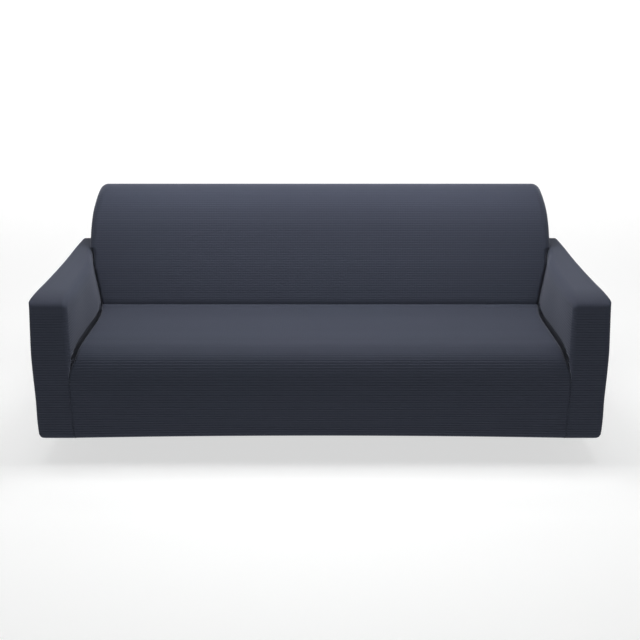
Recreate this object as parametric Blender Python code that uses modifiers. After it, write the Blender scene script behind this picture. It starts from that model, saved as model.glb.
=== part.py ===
"""A fitted stretch slipcover, three seats wide with square arms, in the shape it is worn in.

Five cloth panels: the seat with its front, the inside back, the outside back and two arms.
Sizes are metres. X runs across, Y from the arm fronts to the rear and Z up. The shapes are
worked out as half width, depth behind the arm fronts and height above the floor, and
set_down moves them to the origin, the spot under the top of the back that holds the cover.
"""

from collections import namedtuple
from math import cos, hypot, pi, radians, sin, sqrt

import bmesh
import bpy
from mathutils import Vector

# Cloth, seams and hem. Two panels lie close together in a tuck and are sewn at its foot.
CLOTH = 0.002
SEAM_GAP = 0.0003
TUCK = 0.045
TUCK_GAP = 0.0003
TUCK_OPENING = 0.0018
HEM_HEIGHT = 0.101
HEM_RISE = 0.005
HEM_RECESS = 0.008

# Whole cover
ARM_HEIGHT = 0.637
REAR_DEPTH = 0.826
BACK_TOP_DEPTH = 0.788
BACK_TOP_HEIGHT = 0.8655

# The inside back rounds over the rear edge by REAR_TURN degrees, and the outside back closes it
REAR_EDGE_RADIUS = 0.0195
REAR_EDGE_DEPTH = 0.806
REAR_TURN = 65.0
REAR_PANEL_INSET = 0.0113
CORNER_CLEAR = 0.006

# The mount: under the top of the back, in the middle
MOUNT_DEPTH = BACK_TOP_DEPTH
MOUNT_HEIGHT = BACK_TOP_HEIGHT - CLOTH

# Below the crease the seam between seat and arm swings out, and runs straight to the hem
FLARE = 0.010
FLARE_LOW = 0.330
FLARE_HIGH = 0.425

SLATE = (0.029, 0.0345, 0.052, 1.0)

Stop = namedtuple("Stop", "at value")
SeatRow = namedtuple("SeatRow", "depth height edge_radius tuck steps")
BackRow = namedtuple("BackRow", "depth height edge_radius rear_height steps")

# Seat line at the middle, from the foot of the rear tuck forward and down to the turned hem
SEAT_ROWS = (
    SeatRow(depth=0.5650, height=0.380, edge_radius=0.004, tuck=0.009, steps=2),
    SeatRow(depth=0.5590, height=0.4085, edge_radius=0.004, tuck=0.009, steps=1),
    SeatRow(depth=0.5525, height=0.4210, edge_radius=0.004, tuck=0.009, steps=1),
    SeatRow(depth=0.5400, height=0.4275, edge_radius=0.006, tuck=0.012, steps=1),
    SeatRow(depth=0.4950, height=0.4297, edge_radius=0.012, tuck=0.040, steps=3),
    SeatRow(depth=0.3800, height=0.4345, edge_radius=0.018, tuck=TUCK, steps=3),
    SeatRow(depth=0.2200, height=0.4395, edge_radius=0.018, tuck=TUCK, steps=2),
    SeatRow(depth=0.1300, height=0.4400, edge_radius=0.018, tuck=TUCK, steps=2),
    SeatRow(depth=0.0720, height=0.4330, edge_radius=0.018, tuck=0.042, steps=2),
    SeatRow(depth=0.0280, height=0.4070, edge_radius=0.015, tuck=0.030, steps=3),
    SeatRow(depth=0.0065, height=0.3620, edge_radius=0.009, tuck=0.016, steps=3),
    SeatRow(depth=0.0003, height=0.3100, edge_radius=0.003, tuck=0.010, steps=2),
    SeatRow(depth=0.0000, height=0.2600, edge_radius=0.003, tuck=0.010, steps=2),
    SeatRow(depth=0.0000, height=0.1300, edge_radius=0.003, tuck=0.010, steps=1),
    SeatRow(depth=0.0000, height=0.1220, edge_radius=0.003, tuck=0.010, steps=1),
    SeatRow(depth=0.0041, height=0.1051, edge_radius=0.003, tuck=0.008, steps=1),
    SeatRow(depth=0.0140, height=HEM_HEIGHT, edge_radius=0.003, tuck=0.008, steps=1),
    SeatRow(depth=0.0480, height=HEM_HEIGHT, edge_radius=0.003, tuck=0.008, steps=0),
)
SEAT_ACROSS = (0.0, 0.13, 0.27, 0.41, 0.55, 0.68, 0.79, 0.88, 0.95, 1.0)

# Back line at the middle, from the rear edge over the top and down to the foot of the tuck.
# rear_height is where a thread that leaves the row sideways reaches the rear edge.
BACK_ROWS = (
    BackRow(depth=REAR_EDGE_DEPTH, height=0.8630, edge_radius=0.034, rear_height=0.8285, steps=1),
    BackRow(depth=BACK_TOP_DEPTH, height=BACK_TOP_HEIGHT, edge_radius=0.037, rear_height=0.8220, steps=1),
    BackRow(depth=0.7530, height=0.8610, edge_radius=0.042, rear_height=0.8100, steps=1),
    BackRow(depth=0.7140, height=0.8430, edge_radius=0.044, rear_height=0.7940, steps=2),
    BackRow(depth=0.6790, height=0.8060, edge_radius=0.042, rear_height=0.7680, steps=2),
    BackRow(depth=0.6520, height=0.7500, edge_radius=0.036, rear_height=0.7320, steps=2),
    BackRow(depth=0.6350, height=0.6950, edge_radius=0.030, rear_height=0.6840, steps=2),
    BackRow(depth=0.6185, height=0.6340, edge_radius=0.024, rear_height=0.6280, steps=3),
    BackRow(depth=0.6075, height=0.5960, edge_radius=0.018, rear_height=0.5930, steps=1),
    BackRow(depth=0.6010, height=0.5750, edge_radius=0.015, rear_height=0.5750, steps=2),
    BackRow(depth=0.5880, height=0.5300, edge_radius=0.013, rear_height=0.5300, steps=2),
    BackRow(depth=0.5705, height=0.4700, edge_radius=0.012, rear_height=0.4700, steps=2),
    BackRow(depth=0.5612, height=0.4320, edge_radius=0.010, rear_height=0.4320, steps=1),
    BackRow(depth=0.5615, height=0.4120, edge_radius=0.008, rear_height=0.4120, steps=2),
    BackRow(depth=0.5653, height=0.3800, edge_radius=0.007, rear_height=0.3800, steps=0),
)
BACK_ACROSS = (0.0, 0.14, 0.28, 0.42, 0.56, 0.69, 0.80, 0.89, 0.96, 1.0)
BACK_SIDE_SHARES = (0.06, 0.12, 0.19, 0.27, 0.42, 0.60, 0.80, 1.0)
BESIDE_ARM_HEIGHT = 0.590

# Half widths at a depth, and at a height
ARM_FOOT_INSIDE = (
    Stop(0.000, 0.8810), Stop(0.030, 0.8770), Stop(0.080, 0.8735), Stop(0.220, 0.8685),
    Stop(0.455, 0.8700), Stop(0.558, 0.8830), Stop(0.826, 0.9000),
)
ARM_TOP_INSIDE = (
    Stop(0.000, 0.8765), Stop(0.060, 0.8700), Stop(0.220, 0.8675), Stop(0.455, 0.8815),
    Stop(0.600, 0.9120), Stop(0.826, 0.9160),
)
ARM_OUTSIDE_AT_FRONT = (
    Stop(0.101, 1.0205), Stop(0.160, 1.0222), Stop(0.250, 1.0200), Stop(0.375, 1.0203),
    Stop(0.436, 1.0193), Stop(0.500, 1.0156), Stop(0.563, 1.0115), Stop(0.637, 1.0065),
)
ARM_WAIST = (
    Stop(0.000, 0.0), Stop(0.110, -0.0010), Stop(0.200, -0.0060), Stop(0.290, -0.0095),
    Stop(0.450, -0.0135), Stop(0.560, -0.0135), Stop(0.670, -0.0115), Stop(0.826, -0.0130),
)
BACK_HALF_WIDTH = (
    Stop(0.380, 0.9285), Stop(0.640, 0.9285), Stop(0.725, 0.9235), Stop(0.770, 0.9180),
    Stop(0.820, 0.9065), Stop(0.866, 0.8985),
)

# The arm as a box: each rounded edge between two faces, with its radius along each face's axis
ARM_BOX_WIDTH = 0.135
ARM_EDGES = {
    ("inner", "top"): (0.034, 0.036),
    ("outer", "top"): (0.012, 0.013),
    ("inner", "front"): (0.016, 0.016),
    ("outer", "front"): (0.012, 0.014),
    ("inner", "rear"): (0.008, 0.008),
    ("outer", "rear"): (0.075, 0.080),
    ("outer", "hem"): (0.026, 0.024),
    ("inner", "hem"): (0.008, 0.012),
    ("front", "top"): (0.120, 0.028),
    ("rear", "top"): (0.045, 0.045),
    ("front", "hem"): (0.014, 0.014),
    ("rear", "hem"): (0.014, 0.014),
}
SEAM_EDGE_RADIUS = 0.004
FLARE_FADE = (0.20, 0.50)
ARM_WIDTH_CUTS = (0.046, 0.086)
ARM_DEPTH_CUTS = (0.06, 0.10, 0.16, 0.23, 0.32, 0.40, 0.445, 0.48, 0.515, 0.55, 0.59, 0.63, 0.67, 0.73, 0.785)
ARM_HEIGHT_CUTS = (0.18, 0.24, 0.30, 0.325, 0.345, 0.365, 0.385, 0.41, 0.45, 0.51, 0.566)

# The inner face of the arm: its cloth runs down into the crevice at these shares of the way
INNER_FACE_LEVELS = (0.25, 0.48, 0.66, 0.80, 0.91, 1.0)
STRAIGHT_SEAM_TOP = 0.300
STRAIGHT_SEAM_DEPTH = 0.010
LEVEL_THREADS_TOP = 0.370
FAN_DEPTH = 0.115
REAR_TUCK_FOOT = ((0.560, 0.384), (0.608, 0.384), (0.638, 0.500), (0.662, 0.562), (0.820, 0.562))


def smooth(t):
    t = min(max(t, 0.0), 1.0)
    return t * t * (3.0 - 2.0 * t)


def mix(a, b, t):
    return a + (b - a) * t


def slopes(knots, values):
    """The slope of a smooth line at each knot, from the runs before and after it."""
    runs = [(b - a) / (k - j) for a, b, j, k in zip(values, values[1:], knots, knots[1:])]
    inner = []
    for i in range(1, len(knots) - 1):
        share = (knots[i] - knots[i - 1]) / (knots[i + 1] - knots[i - 1])
        inner.append(mix(runs[i - 1], runs[i], share))
    return [runs[0]] + inner + [runs[-1]]


def blend(a, b, slope_a, slope_b, span, t):
    """A cubic from a to b with a slope at each end."""
    t2 = t * t
    t3 = t2 * t
    start = (2 * t3 - 3 * t2 + 1) * a + (t3 - 2 * t2 + t) * slope_a * span
    return start + (3 * t2 - 2 * t3) * b + (t3 - t2) * slope_b * span


def read(stops, at):
    """The value of a table of stops at one place, along a smooth line through them."""
    knots = [stop.at for stop in stops]
    values = [stop.value for stop in stops]
    if at <= knots[0]:
        return values[0]
    if at >= knots[-1]:
        return values[-1]
    tangents = slopes(knots, values)
    i = max(k for k in range(len(knots) - 1) if knots[k] <= at)
    span = knots[i + 1] - knots[i]
    return blend(values[i], values[i + 1], tangents[i], tangents[i + 1], span, (at - knots[i]) / span)


def run_line(rows):
    """Rows along a smooth line through the given ones, with each row's own number of steps."""
    knots = [0.0]
    for first, second in zip(rows, rows[1:]):
        knots.append(knots[-1] + hypot(second.depth - first.depth, second.height - first.height))
    names = [name for name in rows[0]._fields if name != "steps"]
    columns = {name: [getattr(row, name) for row in rows] for name in names}
    tangents = {name: slopes(knots, columns[name]) for name in names}
    line = []
    for i, row in enumerate(rows[:-1]):
        span = knots[i + 1] - knots[i]
        for step in range(row.steps):
            values = {}
            for name in names:
                a, b = columns[name][i:i + 2]
                slope_a, slope_b = tangents[name][i:i + 2]
                values[name] = blend(a, b, slope_a, slope_b, span, step / row.steps)
            line.append(row._replace(**values))
    line.append(rows[-1])
    return line


def inward(line, i):
    """The way into the cover at a row, as depth and height, for a line that runs forward."""
    before = line[max(i - 1, 0)]
    after = line[min(i + 1, len(line) - 1)]
    run = after.depth - before.depth
    rise = after.height - before.height
    length = hypot(run, rise)
    return -rise / length, run / length


def arm_side(depth, height):
    """Half width of the flat of an arm's inner face, and of the seam below it."""
    up = min(max((height - 0.42) / 0.156, 0.0), 1.0)
    flare = FLARE * (1.0 - smooth((height - FLARE_LOW) / (FLARE_HIGH - FLARE_LOW)))
    flare *= 1.0 - smooth((depth - FLARE_FADE[0]) / (FLARE_FADE[1] - FLARE_FADE[0]))
    return mix(read(ARM_FOOT_INSIDE, depth), read(ARM_TOP_INSIDE, depth), up) + flare


def arm_outside(depth, height):
    """Half width of an arm's outer face, drawn in at its waist near the top."""
    waist = read(ARM_WAIST, depth) * smooth((height - 0.25) / 0.35)
    return read(ARM_OUTSIDE_AT_FRONT, height) + waist


def arm_shoulder(depth, height):
    """Half width of an arm's inner side, rounded over at the top."""
    flat = arm_side(depth, height)
    across, down = ARM_EDGES[("inner", "top")]
    across *= (arm_outside(depth, height) - flat) / ARM_BOX_WIDTH
    over = (height - (ARM_HEIGHT - down)) / down
    if over <= 0.0:
        return flat
    return flat + across * (1.0 - sqrt(max(1.0 - over * over, 0.0)))


def seat_opening(height):
    """How far the seat stands off an arm's inner face: least where the seam shows below."""
    return mix(SEAM_GAP, TUCK_OPENING, smooth((height - STRAIGHT_SEAM_TOP) / TUCK))


def back_side(depth, height):
    """Half width of the back's side: along the arm below its top, and free above it."""
    free = read(BACK_HALF_WIDTH, height)
    if height > ARM_HEIGHT - 0.001:
        return free
    return min(arm_shoulder(depth, height) - TUCK_OPENING, free)


def set_down(half_width, depth, height):
    return Vector((half_width, depth - MOUNT_DEPTH, height - MOUNT_HEIGHT))


def make_material(name):
    material = bpy.data.materials.new(name)
    material.use_nodes = True
    shader = material.node_tree.nodes["Principled BSDF"]
    shader.inputs["Base Color"].default_value = SLATE
    shader.inputs["Roughness"].default_value = 0.9
    shader.inputs["Metallic"].default_value = 0.0
    return material


def loft(rows):
    """A sheet through rows of points, facing right of the rows and up from them."""
    bm = bmesh.new()
    rings = [[bm.verts.new(point) for point in row] for row in rows]
    for first, second in zip(rings, rings[1:]):
        for i in range(len(first) - 1):
            bm.faces.new((first[i], second[i], second[i + 1], first[i + 1]))
    return bm


def finish_panel(name, bm, collection, mirrored):
    """Turn a panel's outer surface into an object with the cloth's thickness inside it."""
    for face in bm.faces:
        face.smooth = True
    mesh = bpy.data.meshes.new(name)
    bm.to_mesh(mesh)
    bm.free()
    panel = bpy.data.objects.new(name, mesh)
    collection.objects.link(panel)
    mesh.materials.append(make_material(name + "_cloth"))
    if mirrored:
        mirror = panel.modifiers.new("both_halves", "MIRROR")
        mirror.use_clip = True
        mirror.merge_threshold = 0.00005
    solid = panel.modifiers.new("thickness", "SOLIDIFY")
    solid.thickness = CLOTH
    solid.offset = -1.0
    solid.use_even_offset = True
    return panel


def seat_panel(collection):
    """Seat, front and hem, with both side edges turned down into the crevices."""
    line = run_line(SEAT_ROWS)
    rows = []
    for i, row in enumerate(line):
        in_depth, in_height = inward(line, i)
        opening = seat_opening(row.height)
        flat = arm_side(row.depth, row.height) - opening - row.edge_radius
        points = []
        for part in SEAT_ACROSS:
            low = (1.0 - part ** 2) * smooth((0.26 - row.height) / 0.15)
            points.append(set_down(part * flat, row.depth + HEM_RECESS * low, row.height + HEM_RISE * low))
        for turn in (22.5, 45.0, 67.5, 90.0):
            half = flat + row.edge_radius * sin(radians(turn))
            down = row.edge_radius * (1.0 - cos(radians(turn)))
            points.append(set_down(half, row.depth + in_depth * down, row.height + in_height * down))
        for part in (0.5, 1.0):
            down = mix(row.edge_radius, row.tuck, part)
            depth = row.depth + in_depth * down
            height = row.height + in_height * down
            gap = min(opening, TUCK_GAP) if part == 1.0 else opening
            points.append(set_down(arm_side(depth, height) - gap, depth, height))
        rows.append(points)
    finish_panel("seat_and_front_panel", loft(rows), collection, True)


def back_side_thread(row, in_depth, in_height):
    """A row's points round the edge of the back and along its side, as half width, depth, height."""
    radius = row.edge_radius
    start_depth = row.depth + in_depth * radius
    start_height = row.height + in_height * radius
    flat = back_side(start_depth, start_height) - radius
    free = row.rear_height > BESIDE_ARM_HEIGHT
    end_depth = REAR_EDGE_DEPTH if free else row.depth + TUCK
    bend = radius * pi / 2.0
    straight = hypot(end_depth - start_depth, row.rear_height - start_height)
    points = [(flat, row.depth, row.height)]
    for share in BACK_SIDE_SHARES:
        run = share * (bend + straight)
        if run < bend:
            turn = run / radius
            down = radius * (1.0 - cos(turn))
            points.append((flat + radius * sin(turn), row.depth + in_depth * down, row.height + in_height * down))
        else:
            part = (run - bend) / straight if straight > 0.0 else 1.0
            depth = mix(start_depth, end_depth, part)
            height = mix(start_height, row.rear_height, part)
            points.append((back_side(depth, height), depth, height))
    return points


def back_rows():
    """All rows of the inside back's grid, as half width, depth and height."""
    line = run_line(BACK_ROWS)
    rows = []
    for i, row in enumerate(line):
        way_in = (0.0, -1.0) if i == 0 else inward(line, i)
        thread = back_side_thread(row, *way_in)
        flat = thread[0][0]
        rows.append([(part * flat, row.depth, row.height) for part in BACK_ACROSS[:-1]] + thread)
    return line, rows


def rear_outline():
    """The rear edge of the inside back, as half widths and heights, from the middle down."""
    line, rows = back_rows()
    outline = [(half, height) for half, _, height in rows[0]]
    for row, points in zip(line[1:], rows[1:]):
        if row.rear_height > BESIDE_ARM_HEIGHT:
            outline.append((points[-1][0], points[-1][2]))
    return outline


def inset(outline, distance):
    """An outline moved towards the inside of the back, level at its two ends."""
    moved = []
    for i, (half, height) in enumerate(outline):
        before = outline[max(i - 1, 0)]
        after = outline[min(i + 1, len(outline) - 1)]
        across = after[0] - before[0]
        rise = after[1] - before[1]
        length = hypot(across, rise)
        if half == 0.0:
            moved.append((0.0, height - distance))
        elif i == len(outline) - 1:
            moved.append((half - distance, height))
        else:
            moved.append((half + distance * rise / length, height - distance * across / length))
    return moved


def back_panel(collection):
    """Face, top and sides of the back, rounded over the rear edge."""
    line, rows = back_rows()
    bm = loft([[set_down(*point) for point in points] for points in rows])
    bm.verts.ensure_lookup_table()
    width = len(rows[0])
    free_rows = sum(1 for row in line if row.rear_height > BESIDE_ARM_HEIGHT)
    edge = [bm.verts[i] for i in range(width)]
    edge += [bm.verts[i * width + width - 1] for i in range(1, free_rows)]
    outline = rear_outline()
    for turn in (0.5 * REAR_TURN, REAR_TURN):
        pull_in = REAR_EDGE_RADIUS * (1.0 - cos(radians(turn)))
        depth = REAR_EDGE_DEPTH + REAR_EDGE_RADIUS * sin(radians(turn))
        ring = [bm.verts.new(set_down(half, depth, height)) for half, height in inset(outline, pull_in)]
        for i in range(len(edge) - 1):
            bm.faces.new((edge[i], edge[i + 1], ring[i + 1], ring[i]))
        edge = ring
    finish_panel("inside_back_panel", bm, collection, True)


def arm_rear_edge(depth, height):
    """Half width of the inner edge of an arm's rear face and of the hem under it."""
    inside = arm_side(depth, height) + TUCK_GAP
    outside = arm_outside(depth, height)
    return mix(inside, outside, ARM_EDGES[("inner", "rear")][0] / ARM_BOX_WIDTH)


def outside_back_panel(collection):
    """The rear, flat and upright, with its hem turned under."""
    foot = HEM_HEIGHT + ARM_EDGES[("rear", "hem")][0]
    shoulder = ARM_HEIGHT - ARM_EDGES[("rear", "top")][1]
    outline = inset(rear_outline(), REAR_PANEL_INSET)
    outline = [point for point in outline if point[0] == 0.0 or point[0] > 0.8]
    outline.append((arm_rear_edge(REAR_DEPTH, shoulder) - CORNER_CLEAR, shoulder - CORNER_CLEAR))
    for stop in reversed(arm_stops()[2]):
        if 1.0 <= stop < 2.0:
            height = mix(foot, shoulder, stop - 1.0)
            outline.append((arm_rear_edge(REAR_DEPTH, height) - SEAM_GAP, height))
    bm = bmesh.new()
    border = [bm.verts.new(set_down(half, REAR_DEPTH, height)) for half, height in outline]
    border.append(bm.verts.new(set_down(0.0, REAR_DEPTH, foot)))
    bm.faces.new(border)
    above = border[-2:]
    radius = ARM_EDGES[("rear", "hem")][0]
    hem = [(radius * (1.0 - cos(radians(turn))), radius * (1.0 - sin(radians(turn)))) for turn in (30, 60, 90)]
    hem.append((REAR_DEPTH - ARM_DEPTH_CUTS[-1], 0.0))
    for forward, up in hem:
        depth = REAR_DEPTH - forward
        height = HEM_HEIGHT + up
        ends = ((arm_rear_edge(depth, height) - SEAM_GAP, depth, height), (0.0, depth, height))
        below = [bm.verts.new(set_down(*end)) for end in ends]
        bm.faces.new((above[0], below[0], below[1], above[1]))
        above = below
    bmesh.ops.recalc_face_normals(bm, faces=bm.faces)
    if max(bm.faces, key=lambda face: face.calc_area()).normal.y < 0.0:
        bmesh.ops.reverse_faces(bm, faces=bm.faces)
    finish_panel("outside_back_panel", bm, collection, True)


def zone(at, low_face, high_face):
    """The face in whose rounded zone a stop lies, and how far into the zone it is."""
    if at < 1.0:
        return low_face, 1.0 - at
    if at > 2.0:
        return high_face, at - 2.0
    return None, 0.0


def zone_depth(face, others, height):
    """How wide a face's rounded zone is along its own axis, from the edges near the point."""
    total = 0.0
    weight = 0.0
    for other, part in others:
        if other is None:
            continue
        if (face, other) in ARM_EDGES:
            radius = ARM_EDGES[(face, other)][0]
        else:
            radius = ARM_EDGES[(other, face)][1]
        if {face, other} == {"inner", "front"}:
            radius = mix(SEAM_EDGE_RADIUS, radius, smooth((height - FLARE_LOW) / (FLARE_HIGH - FLARE_LOW)))
        total += radius * part * part
        weight += part * part
    return total / weight if weight > 0.0 else 0.0


def along(at, faces, unit, span, others, height):
    """One coordinate of the arm box: straight in its core and rounded in its two zones."""
    low = span[0] + zone_depth(faces[0], others, height)
    high = span[1] - zone_depth(faces[1], others, height)
    if at < 1.0:
        return mix(low, span[0], unit)
    if at > 2.0:
        return mix(high, span[1], unit)
    return mix(low, high, at - 1.0)


def arm_point(stop):
    """Where a point of the plain box lies on the arm, as half width, depth and height."""
    x_way = zone(stop.x, "inner", "outer")
    y_way = zone(stop.y, "front", "rear")
    z_way = zone(stop.z, "hem", "top")
    length = sqrt(x_way[1] ** 2 + y_way[1] ** 2 + z_way[1] ** 2)
    x_unit, y_unit, z_unit = (way[1] / length if length else 0.0 for way in (x_way, y_way, z_way))
    span = (HEM_HEIGHT, ARM_HEIGHT)
    height = along(stop.z, ("hem", "top"), z_unit, span, (x_way, y_way), 0.0)
    depth = along(stop.y, ("front", "rear"), y_unit, (0.0, REAR_DEPTH), (x_way, z_way), height)
    width = along(stop.x, ("inner", "outer"), x_unit, (0.0, ARM_BOX_WIDTH), (y_way, z_way), height)
    inside = arm_side(depth, height) + TUCK_GAP
    return mix(inside, arm_outside(depth, height), width / ARM_BOX_WIDTH), depth, height


def core_stops(cuts, low, high):
    """Cuts in metres as stops of the plain box, whose core runs from 1 to 2."""
    return [1.0 + (cut - low) / (high - low) for cut in cuts]


def arm_stops():
    width = core_stops(ARM_WIDTH_CUTS, 0.012, 0.117)
    depth = core_stops(ARM_DEPTH_CUTS, 0.030, 0.812)
    height = core_stops(ARM_HEIGHT_CUTS, 0.115, 0.595)
    zones = [0.586, 1.0, 2.0, 2.414]
    return [sorted(zones + cuts) for cuts in (width, depth, height)]


def plain_arm_box(stops):
    """A cube of stops from 0 to 3, cut along every stop, without the faces the cloth leaves open."""
    bm = bmesh.new()
    bmesh.ops.create_cube(bm, size=3.0)
    bmesh.ops.translate(bm, verts=bm.verts, vec=(1.5, 1.5, 1.5))
    for axis in range(3):
        across = Vector([1.0 if i == axis else 0.0 for i in range(3)])
        for stop in stops[axis]:
            whole = bm.verts[:] + bm.edges[:] + bm.faces[:]
            bmesh.ops.bisect_plane(bm, geom=whole, dist=0.00001, plane_co=across * stop, plane_no=across)
    hem_out = stops[0][-3]
    hem_front = stops[1][2]
    hem_rear = stops[1][-3]
    open_faces = []
    for face in bm.faces:
        middle = face.calc_center_median()
        if middle.x < 0.001 and middle.y > 1.0 and middle.z < 2.0:
            open_faces.append(face)
        if middle.z < 0.001 and middle.x < hem_out and hem_front < middle.y < hem_rear:
            open_faces.append(face)
        if middle.x < 1.0 and middle.z < 2.0 and middle.y > 2.999:
            open_faces.append(face)
        if middle.x < 1.0 and middle.z < 0.001 and middle.y > hem_rear:
            open_faces.append(face)
    bmesh.ops.delete(bm, geom=open_faces, context="FACES")
    return bm


def crevice_route():
    """The sewn foot of an arm's inner face, as depths and heights, from the front to the rear."""
    line = run_line(SEAT_ROWS)
    route = []
    for i, row in enumerate(line):
        in_depth, in_height = inward(line, i)
        if row.depth < SEAT_ROWS[4].depth and row.height > STRAIGHT_SEAM_TOP:
            route.append((row.depth + in_depth * row.tuck, row.height + in_height * row.tuck))
    route.append((STRAIGHT_SEAM_DEPTH, STRAIGHT_SEAM_TOP))
    route.append((STRAIGHT_SEAM_DEPTH, HEM_HEIGHT))
    route.reverse()
    return route + list(REAR_TUCK_FOOT)


def place_on(route, axis, value):
    """The point of a route with a given depth (axis 0) or height (axis 1)."""
    for a, b in zip(route, route[1:]):
        if a[axis] <= value < b[axis]:
            part = (value - a[axis]) / (b[axis] - a[axis])
            return mix(a[0], b[0], part), mix(a[1], b[1], part)
    return value, route[-1][1]


def length_of(route):
    return sum(hypot(b[0] - a[0], b[1] - a[1]) for a, b in zip(route, route[1:]))


def spread(route, share):
    """A point at a share of the way along a route of straight runs."""
    left = share * length_of(route)
    for a, b in zip(route, route[1:]):
        run = hypot(b[0] - a[0], b[1] - a[1])
        if left <= run:
            return mix(a[0], b[0], left / run), mix(a[1], b[1], left / run)
        left -= run
    return route[-1]


def thread_ends(border):
    """For each border point of the inner face, the place on the crevice's foot that it runs to."""
    route = crevice_route()
    ends = []
    fan = []
    for depth, height in border:
        if height <= LEVEL_THREADS_TOP:
            ends.append(place_on(route, 1, height))
        elif depth >= FAN_DEPTH:
            ends.append(place_on(route, 0, depth))
        else:
            fan.append(len(ends))
            ends.append(None)
    first = ends[fan[0] - 1]
    last = ends[fan[-1] + 1]
    bend = [first] + [point for point in route if first[1] < point[1] and point[0] < last[0]] + [last]
    sweep = border[fan[0] - 1:fan[-1] + 2]
    for i in fan:
        run = sweep[:i - fan[0] + 2]
        ends[i] = spread(bend, length_of(run) / length_of(sweep))
    return ends


def arm_panel(name, side, collection):
    """One arm: a rounded box without its floor, its inner face running down into the crevice."""
    bm = plain_arm_box(arm_stops())
    stops = {vert: vert.co.copy() for vert in bm.verts}
    places = {vert: arm_point(stop) for vert, stop in stops.items()}
    inner = [vert for vert in bm.verts if stops[vert].x < 0.001]
    front = [vert for vert in inner if abs(stops[vert].y - 1.0) < 0.001 and 0.999 < stops[vert].z < 1.999]
    upper = [vert for vert in inner if abs(stops[vert].z - 2.0) < 0.001 and stops[vert].y > 0.999]
    upper = [vert for vert in upper if stops[vert].y < 2.001]
    border = sorted(front, key=lambda vert: stops[vert].z) + sorted(upper, key=lambda vert: stops[vert].y)
    starts = [places[vert][1:] for vert in border]
    ends = thread_ends(starts)
    above = border
    for level in INNER_FACE_LEVELS:
        below = []
        for start, end in zip(starts, ends):
            depth = mix(start[0], end[0], level)
            height = mix(start[1], end[1], level)
            vert = bm.verts.new()
            places[vert] = (arm_side(depth, height) + TUCK_GAP, depth, height)
            below.append(vert)
        for i in range(len(border) - 1):
            bm.faces.new((above[i], above[i + 1], below[i + 1], below[i]))
        above = below
    for vert, (half_width, depth, height) in places.items():
        vert.co = set_down(side * half_width, depth, height)
    bmesh.ops.recalc_face_normals(bm, faces=bm.faces)
    outermost = max(bm.faces, key=lambda face: side * face.calc_center_median().x)
    if side * outermost.normal.x < 0.0:
        bmesh.ops.reverse_faces(bm, faces=bm.faces)
    finish_panel(name, bm, collection, False)


for old in list(bpy.data.objects):
    bpy.data.objects.remove(old, do_unlink=True)
cover = bpy.data.collections.new("sofa_slipcover")
bpy.context.scene.collection.children.link(cover)
seat_panel(cover)
back_panel(cover)
outside_back_panel(cover)
arm_panel("left_arm_panel", -1.0, cover)
arm_panel("right_arm_panel", 1.0, cover)
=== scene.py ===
"""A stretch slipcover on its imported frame: five panels of ribbed knit, a pale floor and soft light.

Metres throughout. Shapes are worked out as half width, depth behind the arm fronts and height
above the floor, and set_down moves them to the frame's origin under the top of the back.
"""

from collections import namedtuple
from math import pi, radians

import bmesh
import bpy
import numpy as np
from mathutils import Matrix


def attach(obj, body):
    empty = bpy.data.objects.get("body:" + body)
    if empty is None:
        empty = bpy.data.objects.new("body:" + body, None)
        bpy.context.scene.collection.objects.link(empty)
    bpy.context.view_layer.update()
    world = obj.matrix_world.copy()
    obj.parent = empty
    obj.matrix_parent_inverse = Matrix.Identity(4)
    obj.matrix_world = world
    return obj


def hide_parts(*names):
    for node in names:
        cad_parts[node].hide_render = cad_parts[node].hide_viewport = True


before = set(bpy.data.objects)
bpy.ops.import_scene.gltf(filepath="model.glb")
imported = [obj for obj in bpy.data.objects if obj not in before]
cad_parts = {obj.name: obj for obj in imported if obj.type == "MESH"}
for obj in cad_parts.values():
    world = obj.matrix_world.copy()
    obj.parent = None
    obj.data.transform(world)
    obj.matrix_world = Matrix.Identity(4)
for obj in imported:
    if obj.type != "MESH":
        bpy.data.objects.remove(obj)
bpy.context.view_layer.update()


# ---- Seat and front panel ------------------------------------------------------------------
# One cut of stretch knit with crosswise ribs. It is tucked in behind the seat and beside both
# arms, runs forward over the seat, rounds the front edge and hangs down to a turned hem.

CLOTH = 0.002
RIB_PITCH = 0.0096
RIB_STEPS = 5
RIB_HEIGHT = 0.0012
MOUNT_DEPTH = 0.788
MOUNT_HEIGHT = 0.8635

# The tucks: how deep they are, how far their two layers stand apart, and where that begins
TUCK = 0.045
TUCK_OPENING = 0.0060
TUCK_STEPS = (0.33, 0.66, 1.0)
STRAIGHT_SEAM_TOP = 0.362

# The hem hangs a little higher and further back at the middle than at the arms
HEM_HEIGHT = 0.101
HEM_RISE = 0.005
HEM_RECESS = 0.008
HEM_BOW_TOP = 0.26
HEM_BOW_REACH = 0.15

# Below the crease the seam beside the arm swings outward, most at the front
FLARE = 0.010
FLARE_LOW = 0.330
FLARE_HIGH = 0.425
FLARE_FADE = (0.20, 0.50)

# The ribs are pressed flat on the seat and stand out below its front edge
FLAT_RIBS = 0.3
RIBS_START = 0.432
RIBS_FADE = 0.04

SEAT_COLUMNS = 26
EDGE_STEPS = 6
EDGE_START = 15.0
# Painted shade on the seat's rounded side edge begins at this angle of its turn
EDGE_SHADE_START = 20.0

Stop = namedtuple("Stop", "at value")
SeatRow = namedtuple("SeatRow", "depth height edge_radius tuck")
# A patch's last field is a mask of painted shade for the creases, 0 on open cloth
Patch = namedtuple("Patch", "points across along ribbed tucked", defaults=(0.0,))

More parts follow.
